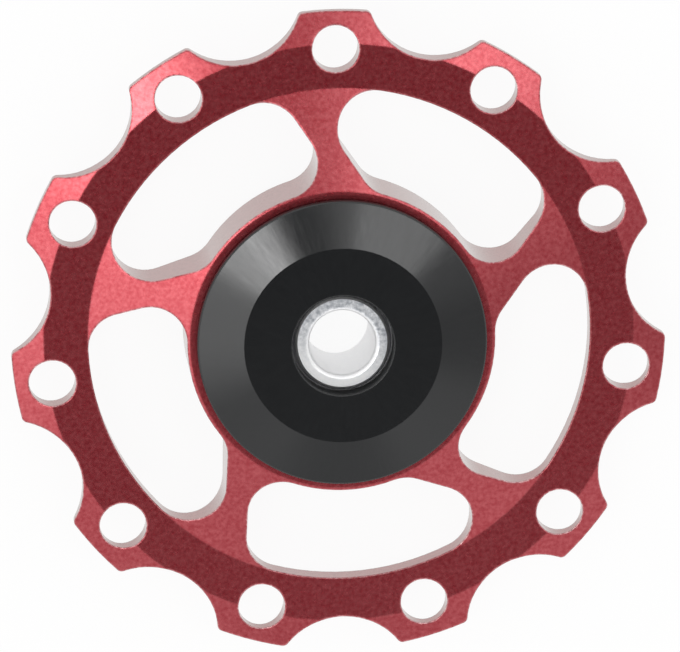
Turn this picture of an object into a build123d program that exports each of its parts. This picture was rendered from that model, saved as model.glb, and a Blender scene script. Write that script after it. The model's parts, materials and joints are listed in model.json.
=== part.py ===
from build123d import *
import os
from math import asin, degrees, hypot, pi, sin

# Derailleur jockey wheel, in millimetres. The wheel turns about Z, the origin is on that axis
# at the wheel's mid-plane, and one tooth points along +Y. The front cover faces +Z.

# Chain and teeth
TOOTH_COUNT = 11
CHAIN_PITCH = 12.7
ROLLER_DIAMETER = 7.75
TOOTH_HEIGHT = 2.34         # from the roller seat up to the tip
VALLEY_RADIUS = 4.4         # one arc from tip to tip, a little wider than the roller
TIP_CORNER_RADIUS = 0.4
TIP_THICKNESS = 0.6
BEVEL_ABOVE_ROOT = 0.28     # the flat ring ends this far above the roller seats
BLANK_ALLOWANCE = 0.5       # the blank is turned this much larger than the finished tips
HOLE_DIAMETER = 3.0
HOLE_BELOW_ROOT = 0.06      # the hole circle lies this far inside the roller seats

# Rim, spokes and hub of the wheel
RIM_THICKNESS = 1.6
RIM_WIDTH = 2.57            # from the slots out to the roller seats
SPOKE_COUNT = 5
SPOKE_WIDTH = 1.44
SPOKE_OFFSET = 6.36         # how far each spoke's centre line passes from the axis
SPOKE_DIRECTION = 51.7      # degrees from +X, of the first spoke's centre line
SLOT_OUTER_CORNER_RADIUS = 2.4
SLOT_INNER_CORNER_RADIUS = 2.2
HUB_WALL = 2.2              # round the bearing, as wide as the hub's flat face
HUB_TO_SLOT = 0.15          # the slots start this far outside the flat face
SEAT_CHAMFER = 0.15

# Ball bearing
BEARING_BORE = 6.0
BEARING_DIAMETER = 15.0
BEARING_WIDTH = 5.0
RING_CHAMFER = 0.2
BALL_COUNT = 8
BALL_DIAMETER = 2.381
RACE_CLEARANCE = 0.05
RACE_SHOULDER = 0.36        # height of the ring's shoulders above the race
CAGE_CLEARANCE = 0.2        # from the rings' shoulders
CAGE_BACK = 0.35            # solid ring behind the balls
CAGE_PRONG_HEIGHT = 0.65    # reaches past the balls' middle, so that they snap in
POCKET_CLEARANCE = 0.06

# Bearing seals
SEAL_THICKNESS = 0.4
SEAL_RECESS = 0.15          # below the rings' faces
SEAL_SEAT_DEPTH = 0.4       # of the groove that holds the seal in the outer ring
SEAL_LIP_CLEARANCE = 0.05

# Dust covers
COVER_DIAMETER = 18.5
COVER_GAP = 0.2             # running gap over the hub's face
COVER_EDGE_HEIGHT = 0.6
COVER_BEVEL_HEIGHT = 0.7
COVER_FLAT_DIAMETER = 12.66
COVER_EDGE_BREAK = 0.08
COVER_BORE_CHAMFER = 0.06
COVER_BORE_CLEARANCE = 0.25 # round the sleeve

# Axle sleeve
SLEEVE_BORE = 4.2
SLEEVE_LENGTH = 6.4
SLEEVE_BORE_ROUNDING = 0.3
SLEEVE_EDGE_BREAK = 0.13

# Radii and heights that follow from these
pitch_radius = CHAIN_PITCH / (2 * sin(pi / TOOTH_COUNT))
root_radius = pitch_radius - ROLLER_DIAMETER / 2
tip_radius = root_radius + TOOTH_HEIGHT
bevel_radius = root_radius + BEVEL_ABOVE_ROOT
hole_circle_radius = root_radius - HOLE_BELOW_ROOT
slot_outer_radius = root_radius - RIM_WIDTH

bearing_radius = BEARING_DIAMETER / 2
bore_radius = BEARING_BORE / 2
bearing_face = BEARING_WIDTH / 2
hub_radius = bearing_radius + HUB_WALL
slot_inner_radius = hub_radius + HUB_TO_SLOT

ball_radius = BALL_DIAMETER / 2
ball_circle_radius = (bearing_radius + bore_radius) / 2
race_radius = ball_radius + RACE_CLEARANCE
inner_shoulder_radius = ball_circle_radius - race_radius + RACE_SHOULDER
outer_shoulder_radius = ball_circle_radius + race_radius - RACE_SHOULDER
seal_outer_face = bearing_face - SEAL_RECESS
seal_inner_face = seal_outer_face - SEAL_THICKNESS
seal_seat_radius = outer_shoulder_radius + SEAL_SEAT_DEPTH

TOOTH_ANGLE = 360 / TOOTH_COUNT
FIRST_TOOTH = 90


def turned(*corners):
    """Solid of revolution about Z, from the (radius, height) corners of half its section."""
    section = make_face(Polyline(*[(radius, 0, height) for radius, height in corners], close=True))
    return revolve(section, Axis.Z)


def turned_symmetric(*corners):
    """Turned solid that is the same on both sides of the mid-plane, from its upper corners."""
    lower = [(radius, -height) for radius, height in reversed(corners)]
    return turned(*corners, *lower)


def distance_from_axis(vertex):
    return hypot(vertex.X, vertex.Y)


def spoke_angle(radius):
    """Direction, in degrees, of the point where the first spoke's centre line is at this radius."""
    return SPOKE_DIRECTION - degrees(asin(SPOKE_OFFSET / radius))


def slot_outlines():
    """The five openings between the spokes, with rounded corners."""
    # Each circle's own start point lies inside a spoke, so that the openings keep plain corners
    outer_edge = Rot(0, 0, spoke_angle(slot_outer_radius)) * Circle(slot_outer_radius)
    inner_edge = Rot(0, 0, spoke_angle(slot_inner_radius)) * Circle(slot_inner_radius)
    openings = outer_edge - inner_edge
    spoke = Pos(tip_radius / 2, -SPOKE_OFFSET) * Rectangle(tip_radius, SPOKE_WIDTH)
    for number in range(SPOKE_COUNT):
        openings -= Rot(0, 0, SPOKE_DIRECTION + number * 360 / SPOKE_COUNT) * spoke
    inner_corners = openings.vertices().group_by(distance_from_axis)[0]
    openings = fillet(inner_corners, SLOT_INNER_CORNER_RADIUS)
    outer_corners = openings.vertices().group_by(distance_from_axis)[-1]
    return fillet(outer_corners, SLOT_OUTER_CORNER_RADIUS)


def tooth_outline():
    """Outline of the wheel: round roller seats between teeth with rounded corners."""
    first_seat = FIRST_TOOTH + TOOTH_ANGLE / 2
    seats = PolarLocations(root_radius + VALLEY_RADIUS, TOOTH_COUNT, start_angle=first_seat)
    # The tip circle starts in a seat, so that the teeth keep plain corners
    outline = Rot(0, 0, first_seat) * Circle(tip_radius) - seats * Circle(VALLEY_RADIUS)
    return fillet(outline.vertices(), TIP_CORNER_RADIUS)


def toothed_wheel():
    """Wheel turned from one blank: wide hub, conical web, flat rim and bevelled teeth."""
    bevel_slope = (RIM_THICKNESS - TIP_THICKNESS) / 2 / (tip_radius - bevel_radius)
    blank = turned_symmetric(
        (bearing_radius, bearing_face - SEAT_CHAMFER),
        (bearing_radius + SEAT_CHAMFER, bearing_face),
        (hub_radius, bearing_face),
        (slot_outer_radius, RIM_THICKNESS / 2),
        (bevel_radius, RIM_THICKNESS / 2),
        (tip_radius + BLANK_ALLOWANCE, TIP_THICKNESS / 2 - bevel_slope * BLANK_ALLOWANCE),
    )
    tooth_holes = PolarLocations(hole_circle_radius, TOOTH_COUNT, start_angle=FIRST_TOOTH)
    wheel = blank & extrude(tooth_outline(), BEARING_WIDTH, both=True)
    wheel -= tooth_holes * Cylinder(HOLE_DIAMETER / 2, 2 * RIM_THICKNESS)
    wheel -= extrude(slot_outlines(), BEARING_WIDTH, both=True)
    return wheel


def ball_race():
    return Torus(ball_circle_radius, race_radius)


def bearing_outer_ring():
    """Outer ring with its race, and a seat for a seal at each end."""
    ring = turned_symmetric(
        (outer_shoulder_radius, seal_inner_face),
        (seal_seat_radius, seal_inner_face),
        (seal_seat_radius, bearing_face),
        (bearing_radius - RING_CHAMFER, bearing_face),
        (bearing_radius, bearing_face - RING_CHAMFER),
    )
    return ring - ball_race()


def bearing_inner_ring():
    ring = turned_symmetric(
        (bore_radius, bearing_face - RING_CHAMFER),
        (bore_radius + RING_CHAMFER, bearing_face),
        (inner_shoulder_radius, bearing_face),
    )
    return ring - ball_race()


def ball(location):
    return location * Sphere(ball_radius)


def ball_cage(ball_places):
    """Crown cage: a ring behind the balls, with prongs between the open pockets."""
    inner = inner_shoulder_radius + CAGE_CLEARANCE
    outer = outer_shoulder_radius - CAGE_CLEARANCE
    back = -(ball_radius + CAGE_BACK)
    cage = turned(
        (inner, back),
        (outer, back),
        (outer, CAGE_PRONG_HEIGHT),
        (inner, CAGE_PRONG_HEIGHT),
    )
    pocket = Rot(0, 90, 0) * Cylinder(ball_radius + POCKET_CLEARANCE, bearing_radius - bore_radius)
    for place in ball_places:
        cage -= place * pocket
    return cage


def front_seal():
    lip_radius = inner_shoulder_radius + SEAL_LIP_CLEARANCE
    return turned(
        (lip_radius, seal_inner_face),
        (seal_seat_radius, seal_inner_face),
        (seal_seat_radius, seal_outer_face),
        (lip_radius, seal_outer_face),
    )


def front_dust_cover():
    """Flat-topped cover with a wide bevel, whose boss bears on the bearing's inner ring."""
    bore = bore_radius + COVER_BORE_CLEARANCE
    radius = COVER_DIAMETER / 2
    back = bearing_face + COVER_GAP
    edge_top = back + COVER_EDGE_HEIGHT
    top = edge_top + COVER_BEVEL_HEIGHT
    return turned(
        (bore, bearing_face),
        (inner_shoulder_radius, bearing_face),
        (inner_shoulder_radius, back),
        (radius - COVER_EDGE_BREAK, back),
        (radius, back + COVER_EDGE_BREAK),
        (radius, edge_top - COVER_EDGE_BREAK),
        (radius - COVER_EDGE_BREAK, edge_top),
        (COVER_FLAT_DIAMETER / 2, top),
        (bore + COVER_BORE_CHAMFER, top),
        (bore, top - COVER_BORE_CHAMFER),
    )


def axle_sleeve():
    """Sleeve for the bolt, with a rounded mouth at both ends of its bore."""
    end = SLEEVE_LENGTH / 2
    sleeve = turned_symmetric(
        (SLEEVE_BORE / 2, end),
        (bore_radius - SLEEVE_EDGE_BREAK, end),
        (bore_radius, end - SLEEVE_EDGE_BREAK),
    )
    mouths = sleeve.edges().filter_by(GeomType.CIRCLE).group_by(SortBy.RADIUS)[0]
    return fillet(mouths, SLEEVE_BORE_ROUNDING)


ball_places = list(PolarLocations(ball_circle_radius, BALL_COUNT))
nodes = {
    "toothed_wheel": toothed_wheel(),
    "bearing_outer_ring": bearing_outer_ring(),
    "bearing_inner_ring": bearing_inner_ring(),
    "ball_cage": ball_cage(ball_places),
    "front_seal": front_seal(),
    "rear_seal": mirror(front_seal(), Plane.XY),
    "front_dust_cover": front_dust_cover(),
    "rear_dust_cover": mirror(front_dust_cover(), Plane.XY),
    "axle_sleeve": axle_sleeve(),
}
for number, place in enumerate(ball_places, start=1):
    nodes[f"ball_{number}"] = ball(place)

os.makedirs("parts", exist_ok=True)
for name, solid in nodes.items():
    export_step(solid, f"parts/{name}.step")
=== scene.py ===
import json
from math import cos, pi, radians, sin, tan

import bpy
from mathutils import Matrix, Vector


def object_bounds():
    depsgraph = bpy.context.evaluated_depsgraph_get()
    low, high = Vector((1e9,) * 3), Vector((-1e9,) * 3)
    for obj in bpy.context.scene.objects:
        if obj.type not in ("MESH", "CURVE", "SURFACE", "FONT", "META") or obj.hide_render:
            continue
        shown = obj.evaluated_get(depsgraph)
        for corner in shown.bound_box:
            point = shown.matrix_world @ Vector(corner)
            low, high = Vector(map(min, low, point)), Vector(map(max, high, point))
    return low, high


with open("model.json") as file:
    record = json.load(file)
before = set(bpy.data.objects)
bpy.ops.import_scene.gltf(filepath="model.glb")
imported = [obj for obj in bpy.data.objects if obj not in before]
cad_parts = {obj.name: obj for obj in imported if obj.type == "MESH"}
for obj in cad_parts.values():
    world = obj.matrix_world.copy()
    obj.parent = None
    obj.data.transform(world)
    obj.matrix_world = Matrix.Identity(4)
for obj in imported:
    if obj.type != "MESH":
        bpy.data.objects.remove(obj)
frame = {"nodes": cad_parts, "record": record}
cad_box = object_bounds()

MM = 0.001

# Camera, measured on the photograph
SENSOR_WIDTH = 36.0
FOCAL_LENGTH = 499.7
VIEW_DISTANCE = 604 * MM
VIEW_LEAN = radians(13.94)          # off the wheel's axis
VIEW_HEADING = radians(107.57)      # from +X, the way the camera leans
PHOTO_TURN = radians(0.72)          # the tooth on +Y stands this far left of the picture's vertical
AIM_HEIGHT = 0.36 * MM              # of a point on the axis, above the mid-plane
AIM_RIGHT = 0.066 * MM              # from that point to the one aimed at, along the picture's sides
AIM_UP = 0.438 * MM

# Studio tent. Each patch has the direction of its middle, the degrees from there to which its full
# effect reaches, the degrees at which its effect ends, and the factor on the tent's brightness.
HORIZON_BRIGHTNESS = 1.25
ZENITH = Vector((0, 0, 1))
TENT_PATCHES = (
    (ZENITH, 38, 78, 0.64),                             # the top is less bright than the sides
    (ZENITH, 6, 18, 0.5),                               # and its middle still less
    (Vector((0.024, -0.068, 0.997)), 4.5, 20.5, 0.08),  # dark ceiling, which the flats mirror
    (Vector((-0.085, 0.280, 0.956)), 3, 9, 0.4),        # dark gap between the key and the next patch
    (Vector((0.060, 0.260, 0.964)), 3, 9, 2.0),         # pale patch beside the camera
    (Vector((0.15, -0.75, 0.65)), 10, 45, 1.30),        # paler side, below in the picture
    (Vector((-0.395, -0.070, 0.916)), 6, 23, 2.75),     # bounce on the left
    (Vector((0.512, -0.21, 0.834)), 3, 12, 0.66),       # dark stretch on the right
    (Vector((0.060, -0.655, 0.750)), 3, 14, 0.68),      # dark stretch below
    (Vector((-0.226, 0.170, 0.959)), 1, 4.2, 4.2),      # brighter part of the key
)

# Softboxes on both sides of the camera: name, direction, angular radius and radiance
LAMP_DISTANCE = 1.2
SOFTBOXES = (
    ("key", Vector((-0.250, 0.122, 0.960)), radians(7.3), 4.4),
    ("fill", Vector((0.283, 0.185, 0.941)), radians(9.5), 2.45),
)

# Floor
FLOOR_SIZE = 6.0
FLOOR_GAP = 0.01 * MM               # below the object, so that no two faces coincide
FLOOR_COLOUR = (0.85, 0.85, 0.85, 1)
FLOOR_WHITE_SHARE = 0.92            # of the floor's look that its shadow can't darken

# Textures
NOISE_DETAIL = 2.0
NOISE_LOW = 0.3                     # noise mostly keeps to the range from here
NOISE_HIGH = 0.7                    # to here
RING_DETAIL = 3.0
EDGE_SAMPLES = 6
CREST_LIKENESS = 0.80               # of the rounded normal and the face's own, on the crest of an edge
FACE_LIKENESS = 0.98                # the same where the face begins

# Red anodised aluminium. Here and below, a pair of colours or roughnesses is a material's range.
RED_DYE = ((0.320, 0.008, 0.019, 1), (0.425, 0.055, 0.067, 1))
RED_CLOUD_SIZE = 0.25 * MM
# Pale crests of edges: partly wear, partly a painted highlight where the edges catch the light.
RED_WEAR_AND_HIGHLIGHT_COLOUR = (0.85, 0.64, 0.64, 1)
RED_WEAR_AND_HIGHLIGHT_SHARE = (0.15, 1.0)              # share of the dye that gives way to the pale colour on a crest, partly wear and partly painted highlight
RED_EDGE_RADIUS = 0.18 * MM
RED_GRAIN_SIZE = 0.17 * MM
RED_GRAIN_DEPTH = 0.0008 * MM
RED_RING_PITCH = 0.12 * MM
RED_RING_DEPTH = 0.0004 * MM
RED_ROUGHNESS = (0.245, 0.275)
RED_GLANCING_TINT = (0.70, 0.86, 0.80, 1)   # the dye swallows more red at a glancing angle
SKIN_GRAIN_DEPTH = 0.0010 * MM
SKIN_ROUGHNESS = 0.19
SKIN_IOR = 1.52

# Black anodised aluminium
BLACK_DYE = ((0.0072, 0.0077, 0.0084, 1), (0.0094, 0.0100, 0.0108, 1))
BLACK_GRAIN_SIZE = 0.12 * MM
BLACK_EDGE_RADIUS = 0.05 * MM
BLACK_RING_PITCH = 0.16 * MM
BLACK_RING_DEPTH = 0.0005 * MM
BLACK_STREAK_WIDTH = 0.022          # radians
BLACK_STREAK_LENGTH = 1.2 * MM
BLACK_STREAK_DEPTH = 0.0009 * MM
BLACK_ROUGHNESS = (0.10, 0.16)
BLACK_WALL_ROUGHNESS = 0.6
BLACK_ANISOTROPY = 0.2
BLACK_SPECULAR_LEVEL = 0.53

# Bare aluminium of the sleeve
SLEEVE_WALL = ((0.93, 0.93, 0.94, 1), (0.96, 0.96, 0.96, 1))
SLEEVE_UNSHADED_END = ((0.84, 0.85, 0.86, 1), (0.90, 0.90, 0.90, 1))
# Painted shade: the sleeve's mottled end is coloured darker towards one side, standing in for how light falls
# on it.
SLEEVE_PAINTED_SHADE_END = ((0.33, 0.35, 0.38, 1), (0.80, 0.81, 0.83, 1))
SLEEVE_PAINTED_SHADE_SIDE = (cos(radians(75)), sin(radians(75)), 0)
SLEEVE_PAINTED_SHADE_SPAN = (-1.9 * MM, 1.0 * MM)    # towards that side, from unshaded to wholly painted shade
SLEEVE_END_FACING = (0.85, 0.99)            # along the axis, from wall to end
SLEEVE_SPOT_SIZE = 0.22 * MM
SLEEVE_SPOT_DETAIL = 3.0
SLEEVE_RING_PITCH = 0.09 * MM
SLEEVE_RING_DEPTH = 0.0015 * MM
SLEEVE_WALL_ROUGHNESS = 0.5
SLEEVE_END_ROUGHNESS = 0.37

# Bearing steel
STEEL_COLOURS = ((0.58, 0.58, 0.60, 1), (0.62, 0.62, 0.64, 1))
STEEL_ROUGHNESS = (0.11, 0.21)
STEEL_GRAIN_SIZE = 0.15 * MM
STEEL_RING_PITCH = 0.05 * MM
STEEL_RING_DEPTH = 0.0015 * MM

# Moulded cage and seals
MOULDED_GRAIN_SIZE = 0.1 * MM
MOULDED_CLOUD_SIZE = 0.8 * MM
MOULDED_CLOUD_DETAIL = 4.0
CAGE_COLOURS = ((0.70, 0.66, 0.55, 1), (0.76, 0.72, 0.61, 1))
CAGE_ROUGHNESS = (0.44, 0.56)
CAGE_GRAIN_DEPTH = 0.003 * MM
SEAL_COLOURS = ((0.022, 0.022, 0.025, 1), (0.030, 0.030, 0.034, 1))
SEAL_ROUGHNESS = (0.64, 0.76)
SEAL_GRAIN_DEPTH = 0.004 * MM


def feed(tree, source, target):
    """Link a socket to an input, or set a constant on that input."""
    if isinstance(source, bpy.types.NodeSocket):
        tree.links.new(source, target)
    else:
        target.default_value = source


def feed_all(tree, node, sources):
    """Feed a node's inputs, each by its name."""
    for name, source in sources.items():
        feed(tree, source, node.inputs[name])


def scalar_math(tree, operation, first, second=None):
    """Value of an operation on one or two sockets or constants."""
    node = tree.nodes.new("ShaderNodeMath")
    node.operation = operation
    feed(tree, first, node.inputs[0])
    if second is not None:
        feed(tree, second, node.inputs[1])
    return node.outputs["Value"]


def vector_math(tree, operation, first, second=None):
    """Node of a vector operation on one or two sockets or constants."""
    node = tree.nodes.new("ShaderNodeVectorMath")
    node.operation = operation
    feed(tree, first, node.inputs[0])
    if second is not None:
        feed(tree, second, node.inputs[1])
    return node


def map_range(tree, value, low, high, from_low=NOISE_LOW, from_high=NOISE_HIGH, easing="LINEAR"):
    """Value taken from the range that noise mostly keeps to, or another, into the range low to high."""
    node = tree.nodes.new("ShaderNodeMapRange")
    node.interpolation_type = easing
    feed_all(tree, node, {
        "Value": value,
        "From Min": from_low,
        "From Max": from_high,
        "To Min": low,
        "To Max": high,
    })
    return node.outputs["Result"]


def mix(tree, kind, factor, first, second):
    """Mix of two colours (kind RGBA) or two values (kind FLOAT), each a constant or a socket."""
    node = tree.nodes.new("ShaderNodeMix")
    node.data_type = kind
    feed_all(tree, node, {"Factor": factor, "A": first, "B": second})
    return node.outputs["Result"]


def mix_shaders(tree, factor, first, second):
    node = tree.nodes.new("ShaderNodeMixShader")
    feed(tree, factor, node.inputs["Fac"])
    feed(tree, first, node.inputs[1])
    feed(tree, second, node.inputs[2])
    return node.outputs["Shader"]


def object_coordinates(tree):
    return tree.nodes.new("ShaderNodeTexCoord").outputs["Object"]


def across_axis(tree, place):
    """The part of a place that lies square to the wheel's axis."""
    return vector_math(tree, "MULTIPLY", place, (1, 1, 0)).outputs["Vector"]


def radius_from_axis(tree, place):
    return vector_math(tree, "LENGTH", across_axis(tree, place)).outputs["Value"]


def facing_along_axis(tree):
    """Value from 0 on an upright wall to 1 on a face that looks along the wheel's axis."""
    parts = tree.nodes.new("ShaderNodeSeparateXYZ")
    tree.links.new(tree.nodes.new("ShaderNodeTexCoord").outputs["Normal"], parts.inputs["Vector"])
    return scalar_math(tree, "ABSOLUTE", parts.outputs["Z"])


def noise_texture(tree, dimensions, feature_size, detail=NOISE_DETAIL):
    """Noise texture whose features are about feature_size across."""
    texture = tree.nodes.new("ShaderNodeTexNoise")
    texture.noise_dimensions = dimensions
    feed_all(tree, texture, {"Scale": 1 / feature_size, "Detail": detail})
    return texture


def grain(tree, place, size, detail=NOISE_DETAIL):
    """Value of spots in all directions, about a size across."""
    texture = noise_texture(tree, "3D", size, detail)
    tree.links.new(place, texture.inputs["Vector"])
    return texture.outputs["Fac"]


def turning_marks(tree, place, pitch):
    """Value of rings about the axis, as a lathe tool leaves them, uneven and about a pitch wide."""
    texture = noise_texture(tree, "1D", pitch, RING_DETAIL)
    tree.links.new(radius_from_axis(tree, place), texture.inputs["W"])
    return texture.outputs["Fac"]


def radial_streaks(tree, place, width, length):
    """Value of streaks straight out from the axis, about a width in radians by a length in metres."""
    texture = noise_texture(tree, "4D", width)
    outward = vector_math(tree, "NORMALIZE", across_axis(tree, place)).outputs["Vector"]
    distance = scalar_math(tree, "MULTIPLY", radius_from_axis(tree, place), width / length)
    feed_all(tree, texture, {"Vector": outward, "W": distance})
    return texture.outputs["Fac"]


def bump(tree, height, depth, normal=None):
    """Normal of a relief whose height runs over depth metres, on top of another normal where one is given."""
    node = tree.nodes.new("ShaderNodeBump")
    feed_all(tree, node, {"Strength": 1.0, "Distance": depth, "Height": height})
    if normal is not None:
        tree.links.new(normal, node.inputs["Normal"])
    return node.outputs["Normal"]


def rounded_edges(tree, radius):
    """Normal that rounds every sharp edge by this radius."""
    node = tree.nodes.new("ShaderNodeBevel")
    node.samples = EDGE_SAMPLES
    node.inputs["Radius"].default_value = radius
    return node.outputs["Normal"]


def on_crest(tree, rounded):
    """Value from 0 on a face to 1 along the crest of an edge, given the normal that rounds it."""
    face = tree.nodes.new("ShaderNodeNewGeometry").outputs["True Normal"]
    likeness = vector_math(tree, "DOT_PRODUCT", rounded, face).outputs["Value"]
    return map_range(tree, likeness, 1, 0, CREST_LIKENESS, FACE_LIKENESS)


def new_material(name):
    """A material with a principled shader at its defaults, its node tree and that shader."""
    material = bpy.data.materials.new(name)
    material.use_nodes = True
    tree = material.node_tree
    return material, tree, tree.nodes["Principled BSDF"]


def red_aluminium():
    """Bead-blasted, red anodised: fine grain, faint turning marks, a clear skin, pale crests of wear and
    painted highlight.
    """
    material, tree, shader = new_material("red_aluminium")
    place = object_coordinates(tree)
    blasting = grain(tree, place, RED_GRAIN_SIZE)
    cloud = grain(tree, place, RED_CLOUD_SIZE)
    edges = rounded_edges(tree, RED_EDGE_RADIUS)
    turned = bump(tree, turning_marks(tree, place, RED_RING_PITCH), RED_RING_DEPTH, edges)
    dye = mix(tree, "RGBA", map_range(tree, cloud, 0, 1), *RED_DYE)
    # Pale crests: partly wear, partly painted highlight.
    wear_and_highlight = scalar_math(tree, "MULTIPLY", on_crest(tree, edges), map_range(tree, cloud, *RED_WEAR_AND_HIGHLIGHT_SHARE))
    feed_all(tree, shader, {
        "Base Color": mix(tree, "RGBA", wear_and_highlight, dye, RED_WEAR_AND_HIGHLIGHT_COLOUR),
        "Metallic": 1.0,
        "Roughness": map_range(tree, blasting, *RED_ROUGHNESS),
        "Normal": bump(tree, blasting, RED_GRAIN_DEPTH, turned),
        "Specular Tint": RED_GLANCING_TINT,
        "Coat Weight": 1.0,
        "Coat Roughness": SKIN_ROUGHNESS,
        "Coat IOR": SKIN_IOR,
        "Coat Normal": bump(tree, blasting, SKIN_GRAIN_DEPTH, turned),
    })
    return material


def black_aluminium():
    """Turned and black anodised: fine rings and streaks that draw the light out, and duller walls."""
    material, tree, shader = new_material("black_aluminium")
    place = object_coordinates(tree)
    spots = grain(tree, place, BLACK_GRAIN_SIZE)
    rings = turning_marks(tree, place, BLACK_RING_PITCH)
    streaks = radial_streaks(tree, place, BLACK_STREAK_WIDTH, BLACK_STREAK_LENGTH)
    ringed = bump(tree, rings, BLACK_RING_DEPTH, rounded_edges(tree, BLACK_EDGE_RADIUS))
    face_roughness = map_range(tree, streaks, *BLACK_ROUGHNESS)
    tangent = tree.nodes.new("ShaderNodeTangent")
    tangent.direction_type = "RADIAL"
    tangent.axis = "Z"
    feed_all(tree, shader, {
        "Base Color": mix(tree, "RGBA", map_range(tree, spots, 0, 1), *BLACK_DYE),
        "Roughness": mix(tree, "FLOAT", facing_along_axis(tree), BLACK_WALL_ROUGHNESS, face_roughness),
        "Normal": bump(tree, streaks, BLACK_STREAK_DEPTH, ringed),
        "Tangent": tangent.outputs["Tangent"],
        "Anisotropic": BLACK_ANISOTROPY,
        "Specular IOR Level": BLACK_SPECULAR_LEVEL,
    })
    return material


def sleeve_aluminium():
    """Bare turned aluminium: bright walls, and mottled ends with painted shade that darkens them towards one
    side.
    """
    material, tree, shader = new_material("bright_aluminium")
    place = object_coordinates(tree)
    spots = map_range(tree, grain(tree, place, SLEEVE_SPOT_SIZE, SLEEVE_SPOT_DETAIL), 0, 1)
    wall, unshaded_end, painted_shade_end = (
        mix(tree, "RGBA", spots, *colours) for colours in (SLEEVE_WALL, SLEEVE_UNSHADED_END, SLEEVE_PAINTED_SHADE_END)
    )
    # Painted shade: the end's colour darkens towards one side.
    towards_shaded_side = vector_math(tree, "DOT_PRODUCT", place, SLEEVE_PAINTED_SHADE_SIDE).outputs["Value"]
    painted_shade_share = map_range(tree, towards_shaded_side, 0, 1, *SLEEVE_PAINTED_SHADE_SPAN)
    end = mix(tree, "RGBA", painted_shade_share, unshaded_end, painted_shade_end)
    on_end = map_range(tree, facing_along_axis(tree), 0, 1, *SLEEVE_END_FACING)
    feed_all(tree, shader, {
        "Base Color": mix(tree, "RGBA", on_end, wall, end),
        "Metallic": 1.0,
        "Roughness": map_range(tree, on_end, SLEEVE_WALL_ROUGHNESS, SLEEVE_END_ROUGHNESS, 0, 1),
        "Normal": bump(tree, turning_marks(tree, place, SLEEVE_RING_PITCH), SLEEVE_RING_DEPTH),
    })
    return material


def bearing_steel():
    """Ground and polished steel, with faint rings and a little unevenness in its shine."""
    material, tree, shader = new_material("bearing_steel")
    place = object_coordinates(tree)
    spots = grain(tree, place, STEEL_GRAIN_SIZE)
    feed_all(tree, shader, {
        "Base Color": mix(tree, "RGBA", map_range(tree, spots, 0, 1), *STEEL_COLOURS),
        "Metallic": 1.0,
        "Roughness": map_range(tree, spots, *STEEL_ROUGHNESS),
        "Normal": bump(tree, turning_marks(tree, place, STEEL_RING_PITCH), STEEL_RING_DEPTH),
    })
    return material


def moulded(name, colours, roughness, relief):
    """Moulded plastic or rubber with a fine eroded grain."""
    material, tree, shader = new_material(name)
    place = object_coordinates(tree)
    erosion = grain(tree, place, MOULDED_GRAIN_SIZE)
    cloud = grain(tree, place, MOULDED_CLOUD_SIZE, MOULDED_CLOUD_DETAIL)
    feed_all(tree, shader, {
        "Base Color": mix(tree, "RGBA", map_range(tree, cloud, 0, 1), *colours),
        "Roughness": map_range(tree, erosion, *roughness),
        "Normal": bump(tree, erosion, relief),
    })
    return material


def dress_nodes():
    """Each node takes the material of its slot in the record."""
    materials = {
        "red_aluminium": red_aluminium(),
        "black_aluminium": black_aluminium(),
        "bright_aluminium": sleeve_aluminium(),
        "bearing_steel": bearing_steel(),
        "cage_plastic": moulded("cage_plastic", CAGE_COLOURS, CAGE_ROUGHNESS, CAGE_GRAIN_DEPTH),
        "seal_rubber": moulded("seal_rubber", SEAL_COLOURS, SEAL_ROUGHNESS, SEAL_GRAIN_DEPTH),
    }
    for subpart in frame["record"]["subparts"]:
        node = frame["nodes"][subpart["node"]]
        node.data.materials.clear()
        node.data.materials.append(materials[subpart["material_slot"]])


def camera_axes():
    """Right, up and backward directions of the camera."""
    backward = Vector((
        sin(VIEW_LEAN) * cos(VIEW_HEADING),
        sin(VIEW_LEAN) * sin(VIEW_HEADING),
        cos(VIEW_LEAN),
    ))
    picture_up = Vector((sin(PHOTO_TURN), cos(PHOTO_TURN), 0))
    right = picture_up.cross(backward).normalized()
    return right, backward.cross(right), backward


def add_camera():
    right, up, backward = camera_axes()
    data = bpy.data.cameras.new("camera")
    data.sensor_width = SENSOR_WIDTH
    data.lens = FOCAL_LENGTH
    camera = bpy.data.objects.new("camera", data)
    aim = Vector((0, 0, AIM_HEIGHT)) + AIM_RIGHT * right + AIM_UP * up
    axes = Matrix((right, up, backward)).transposed()
    camera.matrix_world = Matrix.LocRotScale(aim + VIEW_DISTANCE * backward, axes, None)
    bpy.context.scene.collection.objects.link(camera)
    bpy.context.scene.camera = camera


def floor_material():
    """Near white with a soft shadow where it is seen, pale paint to other light, clear from below."""
    material, tree, shader = new_material("floor")
    tree.nodes.remove(shader)
    path = tree.nodes.new("ShaderNodeLightPath")
    seen = path.outputs["Is Camera Ray"]
    for kind in ("Is Glossy Ray", "Is Transmission Ray"):
        seen = scalar_math(tree, "MAXIMUM", seen, path.outputs[kind])
    whiteness = scalar_math(tree, "MULTIPLY", seen, FLOOR_WHITE_SHARE)
    paint = tree.nodes.new("ShaderNodeBsdfDiffuse")
    paint.inputs["Color"].default_value = FLOOR_COLOUR
    white = tree.nodes.new("ShaderNodeEmission")
    clear = tree.nodes.new("ShaderNodeBsdfTransparent")
    from_below = tree.nodes.new("ShaderNodeNewGeometry").outputs["Backfacing"]
    from_above = mix_shaders(tree, whiteness, paint.outputs["BSDF"], white.outputs["Emission"])
    surface = mix_shaders(tree, from_below, from_above, clear.outputs["BSDF"])
    tree.links.new(surface, tree.nodes["Material Output"].inputs["Surface"])
    return material


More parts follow.
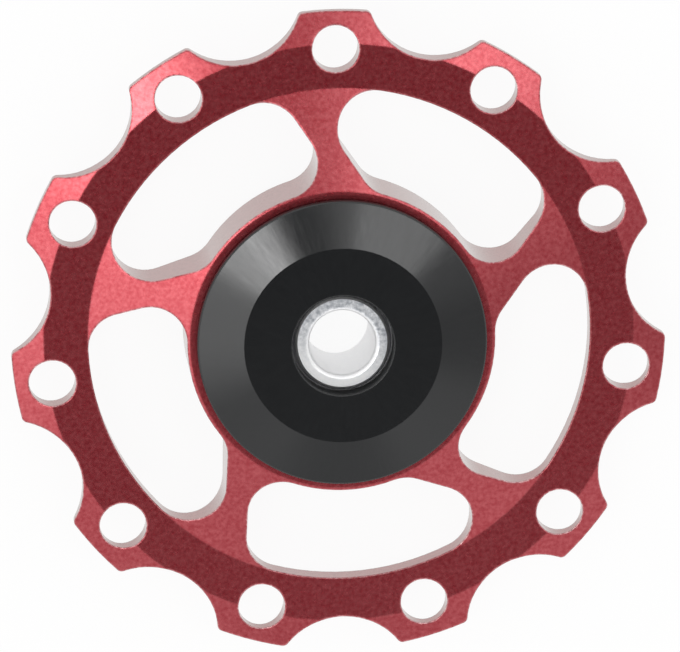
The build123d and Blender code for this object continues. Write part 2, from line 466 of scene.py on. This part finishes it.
def add_floor():
    """Plain pale floor just under the object."""
    height = cad_box[0].z - FLOOR_GAP
    half = FLOOR_SIZE / 2
    corners = [(-half, -half, height), (half, -half, height), (half, half, height), (-half, half, height)]
    mesh = bpy.data.meshes.new("floor")
    mesh.from_pydata(corners, [], [(0, 1, 2, 3)])
    mesh.materials.append(floor_material())
    floor = bpy.data.objects.new("floor", mesh)
    bpy.context.scene.collection.objects.link(floor)


def tent_patch(tree, direction, middle, inner, outer, factor):
    """Value that is the factor inside a round patch of the tent, 1 outside it and smooth between them."""
    likeness = vector_math(tree, "DOT_PRODUCT", direction, middle.normalized()).outputs["Value"]
    return map_range(tree, likeness, 1, factor, cos(radians(outer)), cos(radians(inner)), "SMOOTHSTEP")


def add_tent():
    """White tent all round, darker at the top, with the dark and pale patches that the metal mirrors."""
    world = bpy.data.worlds.new("studio")
    world.use_nodes = True
    bpy.context.scene.world = world
    tree = world.node_tree
    direction = tree.nodes.new("ShaderNodeTexCoord").outputs["Generated"]
    brightness, *factors = [tent_patch(tree, direction, *patch) for patch in TENT_PATCHES]
    for factor in factors:
        brightness = scalar_math(tree, "MULTIPLY", brightness, factor)
    feed_all(tree, tree.nodes["Background"], {"Color": brightness, "Strength": HORIZON_BRIGHTNESS})


def add_softbox(name, direction, radius, radiance):
    """Round soft light that faces the object, of this angular radius and radiance."""
    towards_lamp = direction.normalized()
    diameter = 2 * LAMP_DISTANCE * tan(radius)
    area = pi * diameter ** 2 / 4
    data = bpy.data.lights.new(name, "AREA")
    data.shape = "DISK"
    data.size = diameter
    data.energy = pi * radiance * area
    lamp = bpy.data.objects.new(name, data)
    lamp.location = LAMP_DISTANCE * towards_lamp
    lamp.rotation_mode = "QUATERNION"
    lamp.rotation_quaternion = towards_lamp.to_track_quat("Z", "Y")
    lamp.visible_camera = False
    bpy.context.scene.collection.objects.link(lamp)


dress_nodes()
add_camera()
add_floor()
add_tent()
for softbox in SOFTBOXES:
    add_softbox(*softbox)
bpy.context.scene.view_settings.view_transform = "Standard"
